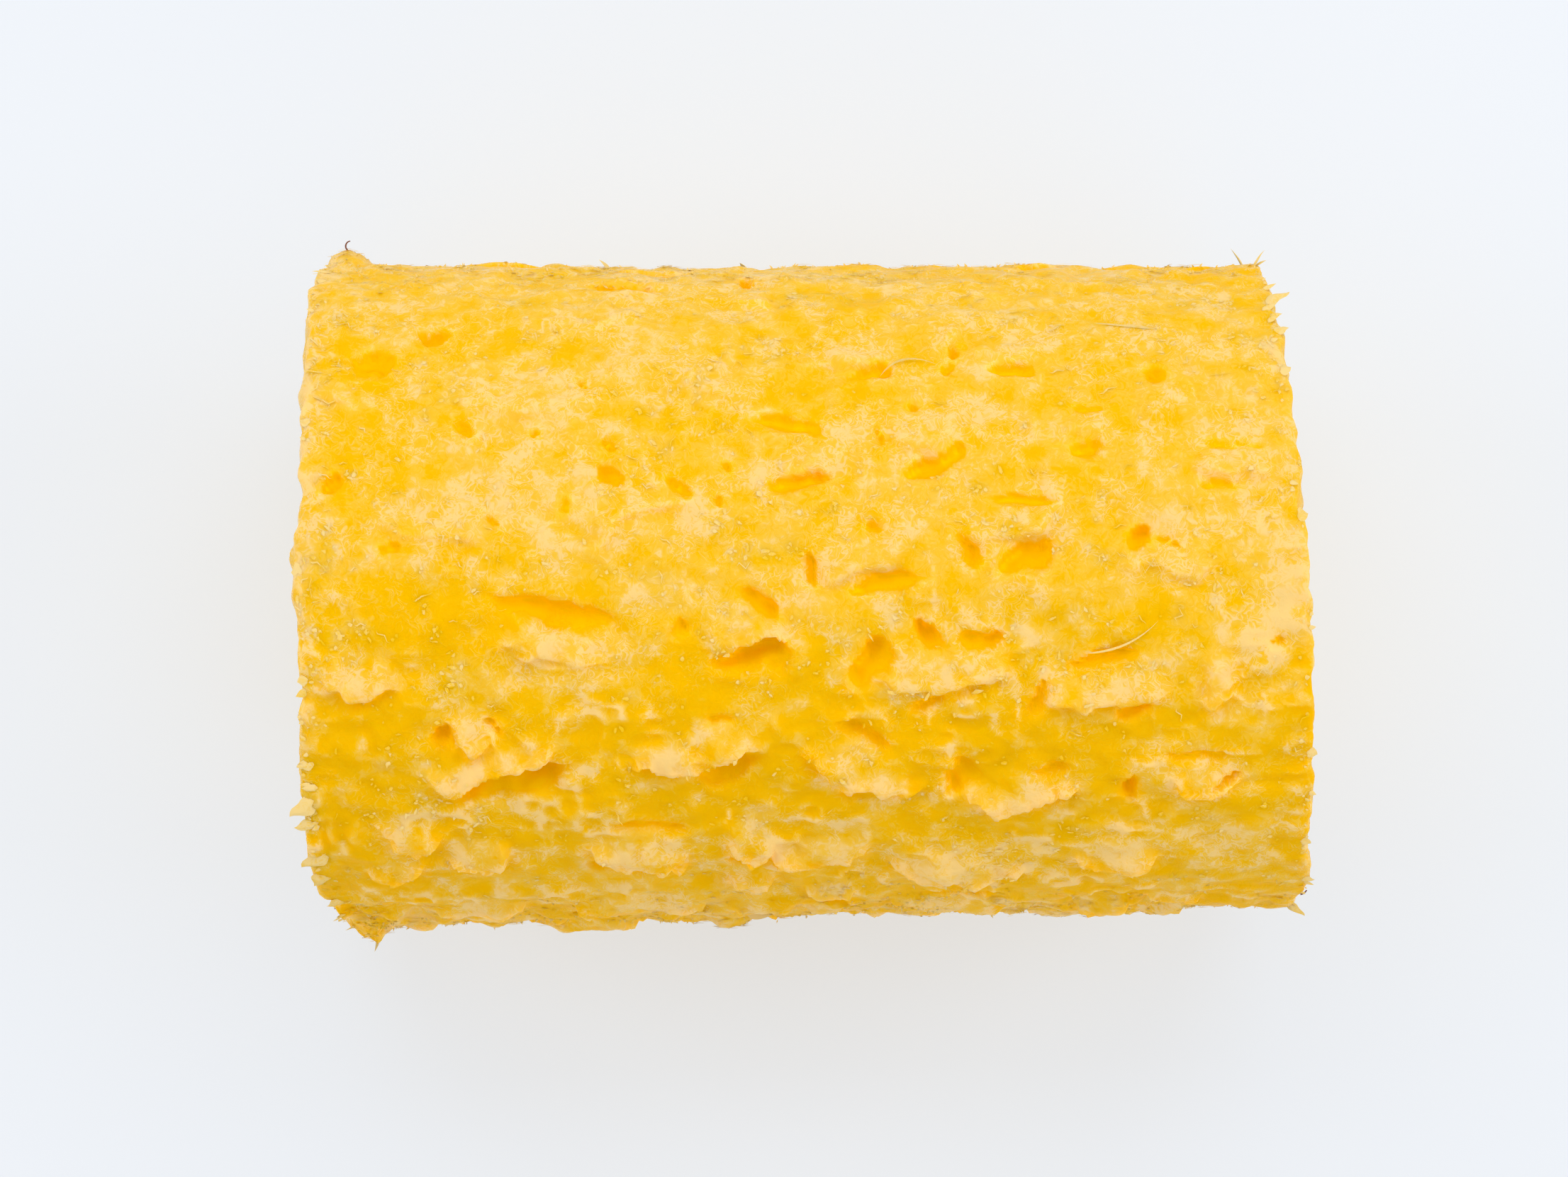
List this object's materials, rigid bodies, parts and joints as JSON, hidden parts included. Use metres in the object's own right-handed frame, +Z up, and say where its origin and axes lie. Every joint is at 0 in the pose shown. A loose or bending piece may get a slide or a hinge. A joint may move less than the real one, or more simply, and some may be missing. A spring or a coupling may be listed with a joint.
{
  "type": "peeled pineapple",
  "caption": "Whole peeled pineapple lying on its side: a barrel of yellow flesh with flat cut ends, low lobes and open seed slits round its side.",
  "frame": {"origin": "middle of the bounding box in X and Y, on the plane of the pressed foot it rests on", "axes": "+X along the barrel from its wider, chipped end to its narrower, askew end; +Z up from the foot; +Y to the back, the side with the straight long edge"},
  "size_m": [0.1271, 0.0902, 0.0838],
  "materials": {
    "flesh": null
  },
  "bodies": {
    "root": {"pineapple_flesh": "flesh"}
  },
  "joints": []
}
